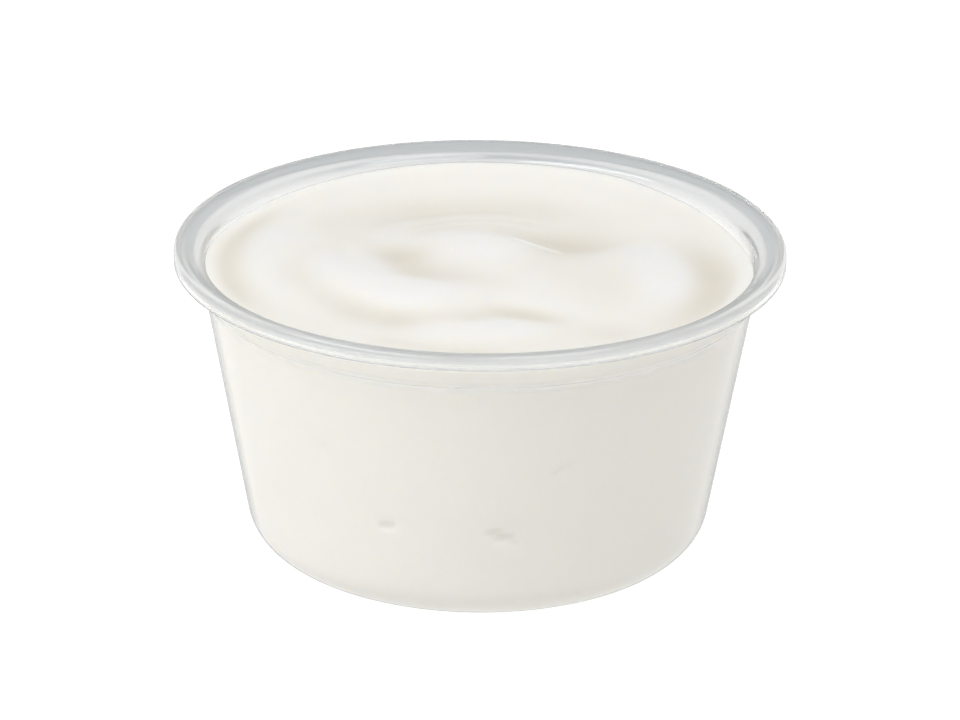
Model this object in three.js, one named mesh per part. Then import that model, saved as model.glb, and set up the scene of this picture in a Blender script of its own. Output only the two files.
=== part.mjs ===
// A small round plastic tub filled with sour cream, in millimetres, +Z up.
// The tub stands on its base, and the origin is the middle of the underside.
import * as THREE from "three";

// Tub sizes
const height = 31.8;
const rimRadius = 31.0;
const wallTopRadius = 28.72;        // outer wall, carried up to the height of the rim
const wallSlope = 0.1772;           // radius gained for each millimetre of height
const wallThickness = 0.55;
const cornerRadius = 4.3;
const panelRadius = 16.2;           // recessed middle of the underside
const panelRecess = 0.4;
const panelStep = 0.8;

// Rim and lid band sizes
const bandDepth = 4.5;              // the lid band's lower edge, below the rim
const bandStep = 0.3;
const lipDrop = 1.45;               // height of the rolled lip
const lipRollWidth = 0.5;
const lipRollHeight = 0.7;
const lipThickness = 0.58;
const seatWidth = 0.6;              // flat top of the lip
const throatHeight = 1.7;           // curved way from the flat top down to the wall
const throatBend = 0.85;            // depth of the point that the curve is pulled towards
const lipRootWidth = 0.2;           // where the underside of the lip leaves the wall
const lipRootHeight = 0.2;

// Cream sizes
const creamGap = 0.3;               // space left between cream and plastic
const middleDepth = 2.4;            // the cream's middle, below the rim
const edgeDepth = 2.3;              // the cream's edge, below the rim, before its rises and dips
const cling = 7;                    // how late the surface turns towards the level of its edge
const calmRing = 25.5;              // radius where the swirl starts to fade towards the wall
const calmWidth = 2.3;              // and how far it takes to fade
const quietMiddle = 4;              // a stroke fades this near to its own centre

// Mesh steps
const turnSteps = 72;
const surfaceSteps = 24;
const sideSteps = 5;
const cornerSteps = 5;
const curlSteps = 4;
const throatSteps = 5;

// Rises and dips of the cream's edge: where it is, how far it reaches to each side, and how high it rises
const edgeWaves = [
  { at: 90, reach: 42, rise: 0.75 },
  { at: 60, reach: 14, rise: 0.25 },
  { at: 14, reach: 22, rise: -0.55 },
  { at: 152, reach: 14, rise: -0.1 },
  { at: 180, reach: 14, rise: 0.3 },
];

// Ridges and grooves left by the spoon. Each follows an arc round its own centre, anticlockwise.
// Centre, radius of the arc at its first and last end, the turns it runs from and to,
// rise, width on the inner and the outer side, and the share over which its ends fade
const strokes = [
  // the broad crescent in front of the middle, and the groove outside it
  { x: -3, y: 0.6, first: 10.8, last: 9.6, from: 140, to: 312, rise: 1.05, inner: 4, outer: 6.6, fade: 0.8 },
  { x: -2, y: 0.4, first: 17.6, last: 16.4, from: 160, to: 300, rise: -0.34, inner: 2.8, outer: 3, fade: 0.6 },
  // ridge and groove along the wall on the right
  { x: 0, y: 0.5, first: 22, last: 16.5, from: -44, to: 30, rise: 0.5, inner: 4.6, outer: 3.4, fade: 0.9 },
  { x: 0, y: 0.5, first: 25.2, last: 21.5, from: -56, to: 36, rise: -0.65, inner: 3.8, outer: 3.6, fade: 0.9 },
  // ridge and groove along the wall on the left
  { x: 0, y: 1, first: 20.6, last: 20.6, from: 140, to: 235, rise: 0.32, inner: 3.6, outer: 3.2, fade: 0.6 },
  { x: 0, y: 1, first: 26, last: 26, from: 135, to: 220, rise: -0.28, inner: 1.9, outer: 1.8, fade: 0.6 },
  // the low ridge at the front
  { x: 0, y: 0.5, first: 18, last: 18.6, from: 240, to: 296, rise: 0.5, inner: 2.6, outer: 3.6, fade: 0.8 },
  // the wide dip behind the middle
  { x: 0, y: 0, first: 18, last: 18, from: 15, to: 165, rise: -0.95, inner: 6.5, outer: 5.4, fade: 0.8 },
];

// Soft mounds and hollows: half length, half widths in front and behind, and how far the long way is turned
const mounds = [
  // the dome in the middle, the hollow between it and the crescent, and the hollow behind it
  { x: 0.8, y: 5.4, long: 5, front: 6.4, back: 3.6, turn: -8, rise: 1.15 },
  { x: -8.2, y: 2.4, long: 3.6, front: 3, back: 3, turn: -50, rise: -0.28 },
  { x: 8.8, y: 8, long: 6.4, front: 5.4, back: 5.6, turn: -8, rise: -1.1 },
  // soft unevenness at the front
  { x: 4, y: -7, long: 8, front: 6, back: 6, turn: -60, rise: 0.5 },
  { x: 4.6, y: -14, long: 4, front: 1.8, back: 1.8, turn: -20, rise: -0.3 },
  { x: 13, y: -18, long: 3.5, front: 3, back: 3, turn: 0, rise: -0.2 },
];

// Small helpers
const rad = THREE.MathUtils.degToRad;
const easeIn = (value) => THREE.MathUtils.smoothstep(value, 0, 1);
const wrapTurn = (degrees) => THREE.MathUtils.euclideanModulo(degrees + 180, 360) - 180;
const bell = (value) => Math.exp(-value * value);

// Points of a quarter or other part of an ellipse round (x, z)
function arcPoints(x, z, halfWidth, halfHeight, from, to, steps) {
  return Array.from({ length: steps + 1 }, (unused, i) => {
    const turn = rad(from + ((to - from) * i) / steps);
    return new THREE.Vector2(x + halfWidth * Math.cos(turn), z + halfHeight * Math.sin(turn));
  });
}

// Radius of the outer wall at a height, without the lid band
function outerWall(z) {
  return wallTopRadius - wallSlope * (height - z);
}

// Rounded corner between a flat bottom at a height and a wall, as far as the wall's own slope
function cornerPoints(bottom, radius, wallAt) {
  const lean = THREE.MathUtils.radToDeg(Math.atan(wallSlope));
  const middle = wallAt(bottom + radius) - radius / Math.cos(rad(lean));
  return arcPoints(middle, bottom + radius, radius, radius, -90, -lean, cornerSteps);
}

// Step around the raised middle panel of a bottom at a height
function panelPoints(bottom) {
  return [
    new THREE.Vector2(panelRadius - panelStep, bottom + panelRecess),
    new THREE.Vector2(panelRadius, bottom),
  ];
}

// Outline of the tub from the middle of its underside, over the rim and down to the middle of its floor
function tubOutline() {
  const point = (r, z) => new THREE.Vector2(r, z);
  const bandLow = height - bandDepth;
  const lipLow = height - lipDrop;
  const lipInner = rimRadius - lipThickness;
  const rollMiddle = rimRadius - lipRollWidth;
  const seatInner = rollMiddle - seatWidth;
  const innerWall = (z) => outerWall(z) - wallThickness;
  const throatLow = height - throatHeight;
  const underside = [point(0, panelRecess), ...panelPoints(0)];
  const outside = [
    ...cornerPoints(0, cornerRadius, outerWall),
    point(outerWall(bandLow), bandLow),
    point(outerWall(bandLow) + bandStep, bandLow + bandStep),
    point(outerWall(lipLow), lipLow),
    point(outerWall(lipLow) + lipRootWidth, lipLow + lipRootHeight),
  ];
  const lip = [
    point(lipInner - lipRollWidth, height - lipThickness),
    point(lipInner, height - lipRollHeight),
    point(lipInner, lipLow),
    point(rimRadius, lipLow),
    ...arcPoints(rollMiddle, height - lipRollHeight, lipRollWidth, lipRollHeight, 0, 90, curlSteps),
  ];
  const bendHeight = height - throatBend;
  const throat = new THREE.QuadraticBezierCurve(
    point(seatInner, height),
    point(innerWall(bendHeight), bendHeight),
    point(innerWall(throatLow), throatLow),
  ).getPoints(throatSteps);
  const inside = [
    point(innerWall(bandLow), bandLow),
    ...cornerPoints(wallThickness, cornerRadius - wallThickness, innerWall).reverse(),
    ...panelPoints(wallThickness).reverse(),
    point(0, wallThickness + panelRecess),
  ];
  return [...underside, ...outside, ...lip, ...throat, ...inside];
}

// How far below the rim the cream's edge lies at an angle
function edgeLevel(angle) {
  const rise = edgeWaves.reduce((sum, wave) => {
    return sum + wave.rise * bell(wrapTurn(angle - wave.at) / wave.reach);
  }, 0);
  return height - edgeDepth + rise;
}

// Height that one stroke of the spoon adds at a place
function strokeRise(stroke, x, y) {
  const turn = THREE.MathUtils.radToDeg(Math.atan2(y - stroke.y, x - stroke.x));
  const halfSpan = (stroke.to - stroke.from) / 2;
  const along = wrapTurn(turn - stroke.from - halfSpan) / halfSpan;
  const crest = THREE.MathUtils.lerp(stroke.first, stroke.last, (along + 1) / 2);
  const away = Math.hypot(x - stroke.x, y - stroke.y);
  const width = away < crest ? stroke.inner : stroke.outer;
  const fade = easeIn((1 - Math.abs(along)) / stroke.fade) * (1 - bell(away / quietMiddle));
  return stroke.rise * bell((away - crest) / width) * fade;
}

// Height that one mound or hollow adds at a place
function moundRise(mound, x, y) {
  const offset = new THREE.Vector2(x - mound.x, y - mound.y);
  offset.rotateAround(new THREE.Vector2(), -rad(mound.turn));
  const width = offset.y < 0 ? mound.front : mound.back;
  return mound.rise * bell(Math.hypot(offset.x / mound.long, offset.y / width));
}

// Height of the cream's surface at an angle and a share of the way from the middle to the edge
function creamTop(angle, share, edgeRadius) {
  const x = edgeRadius * share * Math.cos(rad(angle));
  const y = edgeRadius * share * Math.sin(rad(angle));
  const level = THREE.MathUtils.lerp(height - middleDepth, edgeLevel(angle), share ** cling);
  const marks = strokes.reduce((sum, stroke) => sum + strokeRise(stroke, x, y), 0)
    + mounds.reduce((sum, mound) => sum + moundRise(mound, x, y), 0);
  return level + marks * (1 - easeIn((edgeRadius * share - calmRing) / calmWidth));
}

// Rings of the cream from its floor to the middle of its surface. A ring gives radius and height at an angle.
function creamRings() {
  const floor = wallThickness + creamGap;
  const innerWall = (z) => outerWall(z) - wallThickness - creamGap;
  const base = [...panelPoints(floor), ...cornerPoints(floor, cornerRadius - floor, innerWall)];
  const sideLow = base.at(-1).y;
  const rings = base.map((p) => () => [p.x, p.y]);
  for (let i = 1; i <= sideSteps; i += 1) {
    rings.push((angle) => {
      const z = THREE.MathUtils.lerp(sideLow, edgeLevel(angle), i / sideSteps);
      return [innerWall(z), z];
    });
  }
  for (let i = surfaceSteps - 1; i > 0; i -= 1) {
    rings.push((angle) => {
      const edgeRadius = innerWall(edgeLevel(angle));
      const share = i / surfaceSteps;
      return [edgeRadius * share, creamTop(angle, share, edgeRadius)];
    });
  }
  return { rings, bottom: floor + panelRecess, top: creamTop(0, 0, 1) };
}

// Closed solid through rings of points, with a middle point below the first ring and above the last
function ringSolid({ rings, bottom, top }) {
  const positions = [0, 0, bottom, 0, 0, top];
  const faces = [];
  const corner = (ring, step) => 2 + ring * turnSteps + (step % turnSteps);
  rings.forEach((ring) => {
    for (let step = 0; step < turnSteps; step += 1) {
      const angle = (360 * step) / turnSteps;
      const [radius, z] = ring(angle);
      positions.push(radius * Math.cos(rad(angle)), radius * Math.sin(rad(angle)), z);
    }
  });
  for (let step = 0; step < turnSteps; step += 1) {
    faces.push(0, corner(0, step + 1), corner(0, step));
    for (let ring = 0; ring + 1 < rings.length; ring += 1) {
      faces.push(corner(ring, step), corner(ring, step + 1), corner(ring + 1, step + 1));
      faces.push(corner(ring, step), corner(ring + 1, step + 1), corner(ring + 1, step));
    }
    faces.push(1, corner(rings.length - 1, step), corner(rings.length - 1, step + 1));
  }
  const geometry = new THREE.BufferGeometry();
  geometry.setAttribute("position", new THREE.Float32BufferAttribute(positions, 3));
  geometry.setIndex(faces);
  geometry.computeVertexNormals();
  return geometry;
}

function tubPlastic() {
  return new THREE.MeshStandardMaterial({
    color: "#dfe2e3", roughness: 0.25, metalness: 0, transparent: true, opacity: 0.45,
  });
}

function creamWhite() {
  return new THREE.MeshStandardMaterial({ color: "#f3f2ec", roughness: 0.4, metalness: 0 });
}

function makeTub() {
  const geometry = new THREE.LatheGeometry(tubOutline(), turnSteps);
  geometry.rotateX(Math.PI / 2);
  const mesh = new THREE.Mesh(geometry, tubPlastic());
  mesh.name = "tub";
  return mesh;
}

function makeCream() {
  const mesh = new THREE.Mesh(ringSolid(creamRings()), creamWhite());
  mesh.name = "cream";
  return mesh;
}

const sourCreamTub = new THREE.Group();
sourCreamTub.add(makeTub(), makeCream());

export default sourCreamTub;
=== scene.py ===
# Small plastic tub of sour cream, dressed for a studio picture.
# Lengths in the dictionaries are millimetres unless a note says otherwise; the meshes are in metres.
import math

import bpy
import numpy as np
from mathutils import Matrix, Vector


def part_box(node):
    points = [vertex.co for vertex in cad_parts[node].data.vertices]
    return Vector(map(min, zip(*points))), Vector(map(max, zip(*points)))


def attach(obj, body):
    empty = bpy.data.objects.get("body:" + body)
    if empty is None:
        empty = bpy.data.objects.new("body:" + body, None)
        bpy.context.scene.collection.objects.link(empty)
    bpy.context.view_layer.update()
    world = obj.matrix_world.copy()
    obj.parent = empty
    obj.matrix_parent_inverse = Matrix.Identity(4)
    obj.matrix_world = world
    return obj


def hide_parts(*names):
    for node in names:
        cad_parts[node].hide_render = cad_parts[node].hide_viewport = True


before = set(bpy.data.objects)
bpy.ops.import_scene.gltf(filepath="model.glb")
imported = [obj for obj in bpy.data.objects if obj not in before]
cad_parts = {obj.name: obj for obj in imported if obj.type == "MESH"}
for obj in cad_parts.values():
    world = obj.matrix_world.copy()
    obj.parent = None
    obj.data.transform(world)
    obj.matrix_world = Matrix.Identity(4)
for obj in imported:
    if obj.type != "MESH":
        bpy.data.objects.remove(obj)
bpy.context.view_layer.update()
scene = bpy.context.scene
mm = 0.001

# Main sizes come from the frame: the rim's radius and the height of the tub
tubLow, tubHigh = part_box("tub")
rimRadius = (tubHigh.x - tubLow.x) / 2 / mm
height = tubHigh.z / mm
print("frame loaded, rim", round(rimRadius, 2), "mm, height", round(height, 2), "mm")


# Meshes from numpy arrays

def polar(angle):
    # cos and sin of an angle in degrees
    return np.cos(np.radians(angle)), np.sin(np.radians(angle))


def easeIn(value):
    # t * t * (3 - 2t) with t held between 0 and 1
    t = np.clip(value, 0.0, 1.0)
    return t * t * (3.0 - 2.0 * t)


def bell(value):
    # exp(-v * v)
    return np.exp(-value * value)


def wrapTurn(degrees):
    # the same angle between -180 and 180
    return (degrees + 180.0) % 360.0 - 180.0


def arcPoints(x, z, halfWidth, halfHeight, start, end, steps):
    # (x + a cos t, z + b sin t) as t goes from start to end
    cos, sin = polar(np.linspace(start, end, steps + 1))
    return np.stack([x + halfWidth * cos, z + halfHeight * sin], axis=1)


def straight(a, b, steps):
    # a + (b - a) t, without its last point
    t = np.linspace(0.0, 1.0, steps, endpoint=False)[:, None]
    return np.asarray(a, float) * (1.0 - t) + np.asarray(b, float) * t


def path(points, steps):
    # straight stretches from each point to the next, without the very last point
    return np.concatenate([straight(a, b, count) for a, b, count in zip(points, points[1:], steps)])


def bend(a, b, c, steps):
    # a (1 - t)^2 + 2 b t (1 - t) + c t^2, from a to c, pulled towards b
    t = np.linspace(0.0, 1.0, steps + 1)[:, None]
    return np.outer((1 - t) ** 2, a) + np.outer(2 * t * (1 - t), b) + np.outer(t ** 2, c)


def meshFromRings(name, rings, low, high, material, attribute, values):
    # rings is an array ring x step x (x, y, z) in mm, closed round each ring;
    # low and high are the middle points that shut the first and the last ring;
    # values has one number for every corner, kept as an attribute
    ringCount, stepCount, _ = rings.shape
    corners = np.concatenate([rings.reshape(-1, 3), [low], [high]]) * mm
    ring, step = np.meshgrid(np.arange(ringCount - 1), np.arange(stepCount), indexing="ij")
    beside = (step + 1) % stepCount
    quads = np.stack([ring * stepCount + step, ring * stepCount + beside,
                      (ring + 1) * stepCount + beside, (ring + 1) * stepCount + step], axis=-1).reshape(-1, 4)
    around = np.arange(stepCount)
    onward = (around + 1) % stepCount
    lowMiddle, highMiddle = ringCount * stepCount, ringCount * stepCount + 1
    lastRing = (ringCount - 1) * stepCount
    lowFan = np.stack([onward, around, np.full(stepCount, lowMiddle)], axis=1)
    highFan = np.stack([lastRing + around, lastRing + onward, np.full(stepCount, highMiddle)], axis=1)
    mesh = bpy.data.meshes.new(name)
    mesh.from_pydata(corners.tolist(), [], quads.tolist() + lowFan.tolist() + highFan.tolist())
    mesh.shade_smooth()
    mesh.materials.append(material)
    mesh.attributes.new(attribute, "FLOAT", "POINT").data.foreach_set("value", values.astype(np.float32))
    piece = bpy.data.objects.new(name, mesh)
    scene.collection.objects.link(piece)
    return piece


# Materials

class Link:
    # A socket that can be used in sums: it adds a Math node for each operation
    def __init__(self, kit, socket):
        self.kit = kit
        self.socket = socket

    def math(self, operation, first, second=0.0):
        return self.kit.node("ShaderNodeMath", {"operation": operation}, [first, second])

    def __add__(self, other):
        return self.math("ADD", self, other)

    def __radd__(self, other):
        return self.math("ADD", other, self)

    def __sub__(self, other):
        return self.math("SUBTRACT", self, other)

    def __rsub__(self, other):
        return self.math("SUBTRACT", other, self)

    def __mul__(self, other):
        return self.math("MULTIPLY", self, other)

    def __rmul__(self, other):
        return self.math("MULTIPLY", other, self)

    def __abs__(self):
        return self.math("ABSOLUTE", self)


class Kit:
    # One material's nodes. node() takes a type, its settings, which are set first, and its inputs.
    def __init__(self, name, owner=None):
        self.material = owner or bpy.data.materials.new(name)
        self.material.use_nodes = True
        self.tree = self.material.node_tree
        self.tree.nodes.clear()

    def node(self, kind, settings=None, inputs=None, output=0):
        made = self.tree.nodes.new(kind)
        for key, value in (settings or {}).items():
            setattr(made, key, value)
        pairs = inputs.items() if isinstance(inputs, dict) else enumerate(inputs or [])
        for key, value in pairs:
            if isinstance(value, Link):
                self.tree.links.new(value.socket, made.inputs[key])
            else:
                made.inputs[key].default_value = value
        return Link(self, made.outputs[output])

    def finish(self, surface, inside=None):
        out = self.tree.nodes.new("ShaderNodeOutputMaterial")
        self.tree.links.new(surface.socket, out.inputs["Surface"])
        if inside:
            self.tree.links.new(inside.socket, out.inputs["Volume"])
        return self.material


def linear(hexColour):
    # sRGB hex such as f3f2ee to linear RGBA
    parts = [int(hexColour[i:i + 2], 16) / 255.0 for i in (0, 2, 4)]
    return [p / 12.92 if p <= 0.04045 else ((p + 0.055) / 1.055) ** 2.4 for p in parts] + [1.0]


def mixColours(kit, share, first, second):
    # first * (1 - share) + second * share
    return kit.node("ShaderNodeMix", {"data_type": "RGBA"}, {0: share, 6: first, 7: second}, output=2)


def cornerValue(kit, name):
    # a mesh's own number for each corner, as meshFromRings keeps it
    settings = {"attribute_type": "GEOMETRY", "attribute_name": name}
    return kit.node("ShaderNodeAttribute", settings, output="Fac")


# Cream: warm white, soft inside, faint shine with slightly duller streaks, with painted shade in its hollows,
# on its side and in its dents

cream = {
    "colour": "faf9f6",
    "streakColour": "f8f7f4",
    "paintedShadeColour": "dfd9cc",     # painted shade, in hollows, on the side and in dents
    "streakSize": 260.0,          # pattern scale, per metre
    "streakDetail": 3.0,
    "roughness": 0.36,
    "roughnessSpread": 0.12,
    "ior": 1.4,
    "scatterDepth": 0.8,          # how far light travels inside, red furthest
    "scatterShares": (1.0, 0.93, 0.8),
    "grainSize": 1500.0,          # fine unevenness, per metre
    "grainDetail": 2.0,
    "grainHeight": 0.006,
    "grainStrength": 0.25,
}


def creamMaterial():
    kit = Kit("sour_cream")
    place = kit.node("ShaderNodeTexCoord", output="Object")
    streaks = kit.node("ShaderNodeTexNoise", {"noise_dimensions": "3D"}, {
        "Vector": place, "Scale": cream["streakSize"], "Detail": cream["streakDetail"]})
    grain = kit.node("ShaderNodeTexNoise", {"noise_dimensions": "3D"}, {
        "Vector": place, "Scale": cream["grainSize"], "Detail": cream["grainDetail"]})
    plain = mixColours(kit, streaks, linear(cream["colour"]), linear(cream["streakColour"]))
    # painted shade: the colour darkens towards the shade colour in hollows, on the side against the wall and
    # in its dents
    colour = mixColours(kit, cornerValue(kit, "painted_shade"), plain, linear(cream["paintedShadeColour"]))
    roughness = cream["roughness"] - cream["roughnessSpread"] / 2 + streaks * cream["roughnessSpread"]
    bump = kit.node("ShaderNodeBump", {}, {
        "Strength": cream["grainStrength"], "Distance": cream["grainHeight"] * mm, "Height": grain})
    surface = kit.node("ShaderNodeBsdfPrincipled", {"subsurface_method": "RANDOM_WALK"}, {
        "Base Color": colour,
        "Roughness": roughness,
        "IOR": cream["ior"],
        "Normal": bump,
        "Subsurface Weight": 1.0,
        "Subsurface Radius": cream["scatterShares"],
        "Subsurface Scale": cream["scatterDepth"] * mm,
    })
    return kit.finish(surface)


# Plastic: clear wall, hazier towards the rim; its grey there, at the back and along its outline is painted
# shade

plastic = {
    "wallTint": "fafafa",
    "rimTint": "eaeced",
    "paleHaze": "f1f0ee",         # where there is little milkiness
    "greyHazeAndShade": "bcc1c4",         # and where there is most, its grey painted shade
    "rimHaze": 0.75,              # share of haze where there is most milkiness
    "edgeShadeColour": "979b9d",
    "edgeShadeMost": 0.5,              # share of painted shade, a flat grey, where the wall is seen edge-on
    "edgeStart": 0.76,            # from where it is seen edge-on, and where fully so
    "edgeFull": 0.93,
    "absorbColour": (0.38, 0.41, 0.43, 1.0),
    "absorbDensity": 12.0,        # per metre, so a thicker wall looks greyer
    "roughness": 0.1,
    "ior": 1.49,
    "shadowTint": "f8f9f9",
}


def plasticMaterial():
    kit = Kit("tub_plastic")
    milkAndShade = cornerValue(kit, "milkAndShade")
    clear = kit.node("ShaderNodeBsdfPrincipled", {}, {
        "Base Color": mixColours(kit, milkAndShade, linear(plastic["wallTint"]), linear(plastic["rimTint"])),
        "Roughness": plastic["roughness"],
        "IOR": plastic["ior"],
        "Transmission Weight": 1.0,
    })
    # painted shade: the haze turns grey where the plastic is milkier, most on the rim's top and inside,
    # standing in for the darkness refraction gives the rim
    hazy = kit.node("ShaderNodeBsdfPrincipled", {}, {
        "Base Color": mixColours(kit, milkAndShade, linear(plastic["paleHaze"]), linear(plastic["greyHazeAndShade"])),
        "Roughness": plastic["roughness"],
        "IOR": plastic["ior"],
    })
    milky = kit.node("ShaderNodeMixShader", {}, [milkAndShade * plastic["rimHaze"], clear, hazy])
    # painted shade: grey where the wall is seen edge-on, standing in for the dark line refraction draws along
    # its outline
    facing = kit.node("ShaderNodeLayerWeight", output="Facing")
    edgeShadeShare = kit.node("ShaderNodeMapRange", {"interpolation_type": "SMOOTHSTEP"}, {
        "Value": facing, "From Min": plastic["edgeStart"], "From Max": plastic["edgeFull"],
        "To Min": 0.0, "To Max": plastic["edgeShadeMost"]})
    edge = kit.node("ShaderNodeBsdfDiffuse", {}, {"Color": linear(plastic["edgeShadeColour"])})
    withEdgeShade = kit.node("ShaderNodeMixShader", {}, [edgeShadeShare, milky, edge])
    # light on its way to the cream passes the plastic almost unchanged
    letThrough = kit.node("ShaderNodeBsdfTransparent", {}, {"Color": linear(plastic["shadowTint"])})
    isShadow = kit.node("ShaderNodeLightPath", output="Is Shadow Ray")
    surface = kit.node("ShaderNodeMixShader", {}, [isShadow, withEdgeShade, letThrough])
    inside = kit.node("ShaderNodeVolumeAbsorption", {}, {
        "Color": plastic["absorbColour"], "Density": plastic["absorbDensity"]})
    return kit.finish(surface, inside)


# Tub: one outline carried round the middle

tub = {
    "wallTopRadius": 28.72,       # outer wall, carried up to the height of the rim
    "wallSlope": 0.1772,          # how much wider it gets for each millimetre of height
    "wall": 0.55,
    "corner": 4.3,
    "middleRing": 2.0,            # first and last ring of the mesh, round the closed middle
    "panelRadius": 16.2,          # raised middle of the underside
    "panelRecess": 0.4,
    "panelStep": 0.8,
    "bandDepth": 4.5,             # lower edge of the lid band, below the rim
    "bandStep": 0.3,
    "bandNear": 2.0,              # finer mesh starts this far below the band
    "lipDrop": 1.45,
    "lipRollWidth": 0.5,
    "lipRollHeight": 0.7,
    "lipThickness": 0.32,
    "lipRoot": (0.2, 0.2),        # where the underside of the lip leaves the wall, outward and up
    "seatWidth": 0.6,
    "throatHeight": 1.7,
    "throatBend": 0.85,           # depth of the point that the throat is pulled towards
    "throatEase": 0.3,            # gap below the throat, before the wall's own mesh starts
    "clearBelow": 28.0,           # inside, the plastic turns milky between these heights
    "milkyAbove": 30.8,
    "insideMilk": 0.65,
    "topMilk": 0.35,              # more of it on the flat top, from this height on
    "topStart": 31.15,
    "topReach": 0.25,
    "lipMilk": 0.22,
    "crestMilk": 0.6,
    "stepMilk": 0.45,             # at the step under the lid band
    "stepReach": 0.4,
    "backShade": 0.35,             # painted shade: at the back the crest and the inside are greyer by this share,
    "backReach": 38.0,            # fading over this many degrees to each side,
    "ringShade": 0.5,              # with a ring of painted shade just over the cream
    "ringHeight": 30.75,
    "ringReach": 0.15,
    "turnSteps": 256,
    "cornerSteps": 16,
    "crestSteps": 12,
    "throatSteps": 20,
    "undersideSteps": (6, 3, 4),            # mesh steps of each straight stretch, in turn
    "wallSteps": (12, 8, 3, 6, 3),
    "lipSteps": (4, 3, 3, 3, 3),
    "insideSteps": 20,
    "floorSteps": (3, 6),
}


def outerWall(z):
    # wallTopRadius - wallSlope * (height - z)
    return tub["wallTopRadius"] - tub["wallSlope"] * (height - z)


def innerWall(z):
    # outer wall less the wall's thickness
    return outerWall(z) - tub["wall"]


def cornerPoints(bottom, radius, wallAt, steps):
    # arc from a flat bottom to the wall's own slope
    lean = math.degrees(math.atan(tub["wallSlope"]))
    middle = wallAt(bottom + radius) - radius / math.cos(math.radians(lean))
    return arcPoints(middle, bottom + radius, radius, radius, -90.0, -lean, steps)


def panelPoints(bottom):
    # step around the raised middle panel
    inner = tub["panelRadius"] - tub["panelStep"]
    return [(inner, bottom + tub["panelRecess"]), (tub["panelRadius"], bottom)]


def tubOutline():
    # radius and height of the wall's outline, from the underside over the rim to the floor,
    # how milky each point is, which also greys it as painted shade, and how much painted shade it gets at the
    # back
    wall = tub["wall"]
    bandLow, lipLow = height - tub["bandDepth"], height - tub["lipDrop"]
    lipInner, lipHigh = rimRadius - tub["lipThickness"], height - tub["lipThickness"]
    rollMiddle, rollLow = rimRadius - tub["lipRollWidth"], height - tub["lipRollHeight"]
    throatLow, bendHeight = height - tub["throatHeight"], height - tub["throatBend"]
    insideHigh = throatLow - tub["throatEase"]
    bandNear = bandLow - tub["bandNear"]
    outerCorner = cornerPoints(0.0, tub["corner"], outerWall, tub["cornerSteps"])
    innerCorner = cornerPoints(wall, tub["corner"] - wall, innerWall, tub["cornerSteps"])[::-1]
    lipRoot = (outerWall(lipLow) + tub["lipRoot"][0], lipLow + tub["lipRoot"][1])
    undersideRing = (tub["middleRing"], tub["panelRecess"])
    floorRing = (tub["middleRing"], wall + tub["panelRecess"])
    outside = np.concatenate([
        path([undersideRing, *panelPoints(0.0), outerCorner[0]], tub["undersideSteps"]),
        outerCorner[:-1],
        path([outerCorner[-1], (outerWall(bandNear), bandNear), (outerWall(bandLow), bandLow),
              (outerWall(bandLow) + tub["bandStep"], bandLow + tub["bandStep"]),
              (outerWall(lipLow), lipLow), lipRoot], tub["wallSteps"]),
        path([lipRoot, (lipInner - tub["lipRollWidth"], lipHigh), (lipInner, rollLow), (lipInner, lipLow),
              (rimRadius, lipLow), (rimRadius, rollLow)], tub["lipSteps"]),
    ])
    crest = arcPoints(rollMiddle, rollLow, tub["lipRollWidth"], tub["lipRollHeight"],
                      0.0, 90.0, tub["crestSteps"])
    inside = np.concatenate([
        bend((rollMiddle - tub["seatWidth"], height), (innerWall(bendHeight), bendHeight),
             (innerWall(throatLow), throatLow), tub["throatSteps"]),
        straight((innerWall(insideHigh), insideHigh), innerCorner[0], tub["insideSteps"]),
        innerCorner,
        path([*panelPoints(wall)[::-1], floorRing], tub["floorSteps"]),
        [floorRing],
    ])
    onLip = tub["lipMilk"] * easeIn((outside[:, 1] - lipLow) / tub["lipThickness"] + 1.0)
    onStep = tub["stepMilk"] * bell((outside[:, 1] - bandLow) / tub["stepReach"])
    onCrest = np.full(len(crest), tub["crestMilk"])
    climb = (inside[:, 1] - tub["clearBelow"]) / (tub["milkyAbove"] - tub["clearBelow"])
    onTop = tub["topMilk"] * easeIn((inside[:, 1] - tub["topStart"]) / tub["topReach"])
    onInside = tub["insideMilk"] * easeIn(climb) + onTop
    onRing = tub["ringShade"] * bell((inside[:, 1] - tub["ringHeight"]) / tub["ringReach"])
    milkAndShade = np.concatenate([onLip + onStep, onCrest, onInside])
    backShade = np.concatenate([
        np.zeros(len(outside)), onCrest * tub["backShade"], onInside * tub["backShade"] + onRing])
    return np.concatenate([outside, crest, inside]), milkAndShade, backShade


def makeTub():
    # (r cos a, r sin a, z) for each outline point (r, z) and each angle a
    outline, milkAndShade, backShade = tubOutline()
    angle = np.arange(tub["turnSteps"]) * 360.0 / tub["turnSteps"]
    cos, sin = polar(angle)
    r, z = outline[:, 0][:, None], outline[:, 1][:, None]
    rings = np.stack([r * cos, r * sin, z + 0.0 * cos], axis=-1)
    low, high = (0.0, 0.0, outline[0, 1]), (0.0, 0.0, outline[-1, 1])
    # painted shade at the back, fading to each side
    milkAndShade = milkAndShade[:, None] + backShade[:, None] * bell(wrapTurn(angle - 90.0) / tub["backReach"])
    milkAndShade = np.concatenate([milkAndShade.ravel(), [0.0, 0.0]])
    return meshFromRings("tub_shell", rings, low, high, plasticMaterial(), "milkAndShade", milkAndShade)


# Cream surface: a level, spoon strokes along arcs, and soft mounds

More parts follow.
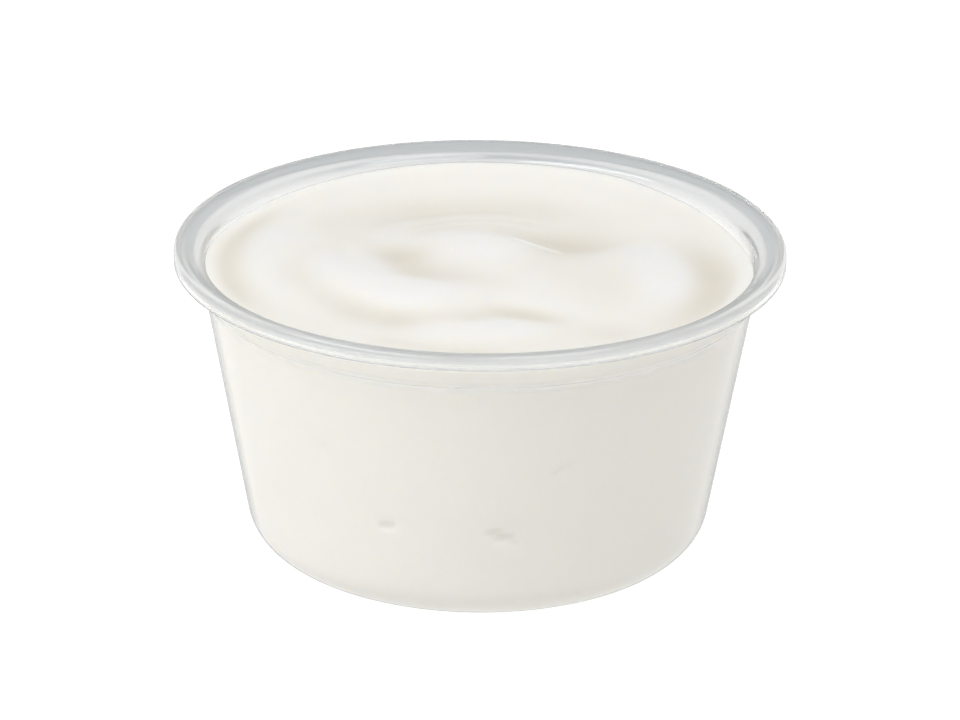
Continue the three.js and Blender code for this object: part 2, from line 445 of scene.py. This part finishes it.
surfaceShape = {
    "middleDepth": 2.4,           # the middle, below the rim
    "edgeDepth": 2.3,             # the edge, below the rim, before its rises and dips
    "cling": 7.0,                 # how late the surface turns towards the level of its edge
    "calmRing": 25.5,             # where the swirl starts to fade towards the wall
    "calmWidth": 2.3,
    "reachIntoWall": 0.08,
    "quietMiddle": 4.0,           # a stroke fades this near to its own centre
    "dipReach": 3.5,              # hollows get painted shade, by how much lower they lie than a ring this wide
    "shadePerDip": 0.8,
    "flatShade": 0.3,              # painted shade where the surface is flat
    "sideShade": 0.27,             # painted shade on the cream against the wall
    "dentShade": 1.0,              # and more painted shade in its dents, for each millimetre of depth
    "cornerSteps": 12,
    "turnSteps": 288,
    "ringSteps": 150,
    "sideSteps": 40,
}

# rises and dips of the edge: where it is, how far it reaches to each side, and its height
edgeWaves = [
    {"at": 90, "reach": 42, "rise": 0.75},
    {"at": 60, "reach": 14, "rise": 0.25},
    {"at": 14, "reach": 22, "rise": -0.55},
    {"at": 152, "reach": 14, "rise": -0.1},
    {"at": 180, "reach": 14, "rise": 0.3},
]


def stroke(x, y, first, last, start, end, rise, inner, outer, fade):
    # one arc left by the spoon, anticlockwise round its own centre
    return {"x": x, "y": y, "first": first, "last": last, "from": start, "to": end,
            "rise": rise, "inner": inner, "outer": outer, "fade": fade}


strokes = [
    # the broad crescent in front of the middle, and the groove outside it
    stroke(-3, 0.6, 10.8, 9.6, 140, 312, 1.05, 4.0, 6.6, 0.8),
    stroke(-2, 0.4, 17.6, 16.4, 160, 300, -0.34, 2.8, 3.0, 0.6),
    # the thin lip in the hollow behind the middle
    stroke(2, -1, 8.6, 8, 36, 88, 0.22, 0.5, 0.6, 0.6),
    # ridge and groove along the wall on the right
    stroke(0, 0.5, 22, 16.5, -44, 30, 0.5, 4.6, 3.4, 0.9),
    stroke(0, 0.5, 25.2, 21.5, -56, 36, -0.65, 3.8, 3.6, 0.9),
    # ridge and groove along the wall on the left
    stroke(0, 1, 20.6, 20.6, 140, 235, 0.32, 3.6, 3.2, 0.6),
    stroke(0, 1, 26.0, 26.0, 135, 220, -0.28, 1.9, 1.8, 0.6),
    # the low ridge at the front, and the fine groove in front of it
    stroke(0, 0.5, 18.0, 18.6, 240, 296, 0.5, 2.6, 3.6, 0.8),
    stroke(0, 0, 22.4, 24, 238, 280, -0.1, 1.3, 1.3, 0.5),
    # the wide dip behind the middle, with fine rings in it
    stroke(0, 0, 18, 18, 15, 165, -0.95, 6.5, 5.4, 0.8),
    stroke(1, 3.4, 9.6, 9.4, 50, 165, -0.06, 0.9, 0.5, 0.4),
    stroke(1, 3.4, 12.0, 11.4, 55, 150, -0.07, 0.9, 0.5, 0.4),
    stroke(1, 3.4, 14.2, 14.8, 70, 160, -0.06, 1.0, 0.6, 0.4),
]


def mound(x, y, long, front, back, turn, rise):
    # one soft rise or dip: half length along it, half widths in front and behind, and how far it is turned
    return {"x": x, "y": y, "long": long, "front": front, "back": back, "turn": turn, "rise": rise}


mounds = [
    mound(0.8, 5.4, 5.0, 6.4, 3.6, -8, 1.15),       # the dome in the middle
    mound(-8.2, 2.4, 3.6, 3.0, 3.0, -50, -0.28),    # the hollow between it and the crescent
    mound(8.8, 8.0, 6.4, 5.4, 5.6, -8, -1.1),       # the hollow behind it
    mound(4.0, -7.0, 8.0, 6.0, 6.0, -60, 0.5),      # the broad rise in front, a little to the right
    mound(4.6, -14.0, 4.0, 1.8, 1.8, -20, -0.3),    # small hollows at the front and on the front right
    mound(13.0, -18.0, 3.5, 3.0, 3.0, 0, -0.2),
]

# small dents in the side, where air was caught against the wall:
# angle, height, half width, half height, lean in degrees, and depth
airDents = [
    {"at": 249.0, "z": 10.85, "wide": 0.9, "tall": 0.4, "lean": 15, "depth": 0.35},
    {"at": 275.5, "z": 10.2, "wide": 1.6, "tall": 0.45, "lean": -25, "depth": 0.35},
    {"at": 288.0, "z": 17.5, "wide": 1.6, "tall": 0.35, "lean": 30, "depth": 0.1},
    {"at": 234.0, "z": 18.5, "wide": 1.2, "tall": 0.5, "lean": -30, "depth": 0.1},
]


def edgeLevel(angle):
    # height - edgeDepth + sum of rise * bell((angle - at) / reach)
    rise = sum(w["rise"] * bell(wrapTurn(angle - w["at"]) / w["reach"]) for w in edgeWaves)
    return height - surfaceShape["edgeDepth"] + rise


def strokeRise(s, x, y):
    # rise * bell(distance from the crest / width) * fade towards both ends and towards the arc's own centre
    halfSpan = (s["to"] - s["from"]) / 2.0
    along = wrapTurn(np.degrees(np.arctan2(y - s["y"], x - s["x"])) - s["from"] - halfSpan) / halfSpan
    crest = s["first"] + (s["last"] - s["first"]) * (along + 1.0) / 2.0
    away = np.hypot(x - s["x"], y - s["y"])
    width = np.where(away < crest, s["inner"], s["outer"])
    fade = easeIn((1.0 - np.abs(along)) / s["fade"]) * (1.0 - bell(away / surfaceShape["quietMiddle"]))
    return s["rise"] * bell((away - crest) / width) * fade


def moundRise(m, x, y):
    # rise * bell(u / long) * bell(v / width), with u and v turned
    cos, sin = polar(m["turn"])
    u = (x - m["x"]) * cos + (y - m["y"]) * sin
    v = (y - m["y"]) * cos - (x - m["x"]) * sin
    return m["rise"] * bell(u / m["long"]) * bell(v / np.where(v < 0.0, m["front"], m["back"]))


def marksAt(x, y):
    # sum of strokes and mounds, less towards the wall
    marks = sum(strokeRise(s, x, y) for s in strokes) + sum(moundRise(m, x, y) for m in mounds)
    return marks * (1.0 - easeIn((np.hypot(x, y) - surfaceShape["calmRing"]) / surfaceShape["calmWidth"]))


def dipAt(x, y):
    # mean of the marks in eight directions around a place, less the marks at the place itself
    reach = surfaceShape["dipReach"]
    around = [marksAt(x + reach * cos, y + reach * sin) for cos, sin in map(polar, range(0, 360, 45))]
    return sum(around) / len(around) - marksAt(x, y)


def levelAt(angle, share):
    # middle + (edge - middle) * share ^ cling
    middle = height - surfaceShape["middleDepth"]
    return middle + (edgeLevel(angle) - middle) * share ** surfaceShape["cling"]


def dentShape(d, angle, z):
    # exp(-((u / wide)^2 + (v / tall)^2)^2) on the wall, turned by lean
    along = np.radians(wrapTurn(angle - d["at"])) * innerWall(z)
    cos, sin = polar(d["lean"])
    u = (along * cos + (z - d["z"]) * sin) / d["wide"]
    v = (-along * sin + (z - d["z"]) * cos) / d["tall"]
    return np.exp(-(u * u + v * v) ** 2)


def makeCream():
    # rings up the side, each at a share of the way to the edge's level, then rings in to the middle
    steps = surfaceShape["turnSteps"]
    angle = np.arange(steps) * 360.0 / steps
    cos, sin = polar(angle)
    reach = surfaceShape["reachIntoWall"]
    floor = tub["wall"] - reach
    corner = cornerPoints(floor, tub["corner"] - floor, lambda z: innerWall(z) + reach,
                          surfaceShape["cornerSteps"])
    base = np.concatenate([panelPoints(floor), corner])
    radius = [np.full(steps, r) for r in base[:, 0]]
    level = [np.full(steps, z) for z in base[:, 1]]
    # painted shade on the side against the wall, more in each dent
    sideShades = [np.full(steps, surfaceShape["sideShade"]) for _ in base]
    for share in np.linspace(0.0, 1.0, surfaceShape["sideSteps"] + 1)[1:]:
        z = base[-1, 1] + (edgeLevel(angle) - base[-1, 1]) * share
        dent = sum(d["depth"] * dentShape(d, angle, z) for d in airDents)
        radius.append(innerWall(z) + reach - dent)
        level.append(z)
        # painted shade: darker in the dents by their depth
        sideShades.append(surfaceShape["sideShade"] + surfaceShape["dentShade"] * dent)
    edgeRadius = innerWall(edgeLevel(angle)) + reach
    for share in np.linspace(1.0, 0.0, surfaceShape["ringSteps"] + 1)[1:-1]:
        radius.append(edgeRadius * share)
        level.append(levelAt(angle, share) + marksAt(radius[-1] * cos, radius[-1] * sin))
    radius, level = np.stack(radius), np.stack(level)
    rings = np.stack([radius * cos, radius * sin, level], axis=-1)
    low = (0.0, 0.0, floor + tub["panelRecess"])
    high = (0.0, 0.0, height - surfaceShape["middleDepth"] + float(marksAt(0.0, 0.0)))
    # painted shade, by how far each place lies below the marks around it; the side keeps its own
    shadeAmounts = easeIn(surfaceShape["flatShade"] + dipAt(rings[:, :, 0], rings[:, :, 1]) / surfaceShape["shadePerDip"])
    shadeAmounts[:len(sideShades)] = sideShades
    shadeAmounts = np.concatenate([shadeAmounts.ravel(), [surfaceShape["sideShade"], shadeAmounts[-1].mean()]])
    return meshFromRings("cream_fill", rings, low, high, creamMaterial(), "painted_shade", shadeAmounts)


tubShell = makeTub()
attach(tubShell, "root")
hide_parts("tub")
print("tub made,", len(tubShell.data.polygons), "faces")

creamFill = makeCream()
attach(creamFill, "root")
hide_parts("cream")
print("cream made,", len(creamFill.data.polygons), "faces")


# Studio: pale floor, soft lights, camera

studio = {
    "floorSize": 6.0,             # metres
    "floorDrop": 0.1,             # the floor lies this far below the tub
    "floorColour": "b4b4b4",
    "floorGlow": 0.76,
    "worldColour": (1.0, 0.978, 0.935, 1.0),
    "worldLow": 0.95,             # brightness of the room near the floor and overhead
    "worldHigh": 0.36,
    "worldFall": 3.0,             # how fast it falls between the two
    "worldLean": 0.3,             # how much brighter the room is on the right
    "keyPower": 2.75,             # watts; places and sizes of the lights are in metres
    "keyPlace": (-0.43, -0.30, 0.60),
    "keySize": (0.8, 0.25),
    "topPower": 2.0,
    "topPlace": (0.22, -0.26, 0.72),
    "topSize": (0.5, 0.5),
    "aimHeight": 0.7,             # share of the tub's height that the lights point at
}


def makeFloor():
    kit = Kit("floor")
    surface = kit.node("ShaderNodeBsdfPrincipled", {}, {
        "Base Color": linear(studio["floorColour"]), "Roughness": 0.9, "Specular IOR Level": 0.1,
        "Emission Color": linear("ffffff"), "Emission Strength": studio["floorGlow"]})
    half = studio["floorSize"] / 2
    corners = [(-half, -half, 0), (half, -half, 0), (half, half, 0), (-half, half, 0)]
    mesh = bpy.data.meshes.new("floor")
    mesh.from_pydata(corners, [], [(0, 1, 2, 3)])
    mesh.materials.append(kit.finish(surface))
    floor = bpy.data.objects.new("floor", mesh)
    scene.collection.objects.link(floor)
    floor.location.z = -studio["floorDrop"] * mm


def aimAt(thing, place, target):
    # turns a thing's -Z towards the target
    thing.location = place
    thing.rotation_euler = (Vector(target) - Vector(place)).to_track_quat("-Z", "Y").to_euler()


def areaLight(name, place, size, power):
    lamp = bpy.data.lights.new(name, "AREA")
    lamp.shape = "ELLIPSE"
    lamp.size, lamp.size_y = size
    lamp.energy = power
    light = bpy.data.objects.new(name, lamp)
    scene.collection.objects.link(light)
    aimAt(light, place, (0.0, 0.0, height * mm * studio["aimHeight"]))


def makeLights():
    # the room's brightness is (high + (low - high) * (1 - |z|)^fall) * (1 + lean * x)
    world = bpy.data.worlds.new("studio")
    world.use_nodes = True
    kit = Kit("studio", world)
    way = kit.node("ShaderNodeTexCoord", output="Generated")
    upward = kit.node("ShaderNodeSeparateXYZ", {}, [way], output="Z")
    rightward = kit.node("ShaderNodeSeparateXYZ", {}, [way], output="X")
    nearness = upward.math("POWER", 1.0 - abs(upward), studio["worldFall"])
    strength = nearness * (studio["worldLow"] - studio["worldHigh"]) + studio["worldHigh"]
    strength = strength * (rightward * studio["worldLean"] + 1.0)
    sky = kit.node("ShaderNodeBackground", {}, {"Color": studio["worldColour"], "Strength": strength})
    out = world.node_tree.nodes.new("ShaderNodeOutputWorld")
    world.node_tree.links.new(sky.socket, out.inputs["Surface"])
    scene.world = world
    areaLight("key", studio["keyPlace"], studio["keySize"], studio["keyPower"])
    areaLight("top", studio["topPlace"], studio["topSize"], studio["topPower"])


# the camera's aim is given by its own offsets: sideways and upward shift of the object, and its distance
camera = {
    "focal": 5000.0,              # pixels on a picture 960 wide
    "picture": 960.0,
    "elevation": 22.24,           # degrees, looking down
    "roll": 0.526,
    "sideways": -0.093,
    "upward": -17.476,
    "distance": 518.1,
}


def makeCamera():
    # the view's own axes: right, up and back, turned by elevation and roll
    lens = bpy.data.cameras.new("camera")
    lens.sensor_width = 36.0
    lens.lens = camera["focal"] * lens.sensor_width / camera["picture"]
    lens.clip_start, lens.clip_end = 0.01, 20.0
    eye = bpy.data.objects.new("camera", lens)
    scene.collection.objects.link(eye)
    cosE, sinE = polar(camera["elevation"])
    cosR, sinR = polar(camera["roll"])
    right, up, back = Vector((1, 0, 0)), Vector((0, sinE, cosE)), Vector((0, -cosE, sinE))
    place = -camera["sideways"] * right - camera["upward"] * up + camera["distance"] * back
    turned = Matrix((cosR * right + sinR * up, cosR * up - sinR * right, back)).transposed()
    eye.matrix_world = Matrix.Translation(place * mm) @ turned.to_4x4()
    scene.camera = eye


makeFloor()
makeLights()
makeCamera()
scene.view_settings.view_transform = "Standard"
print("studio ready")
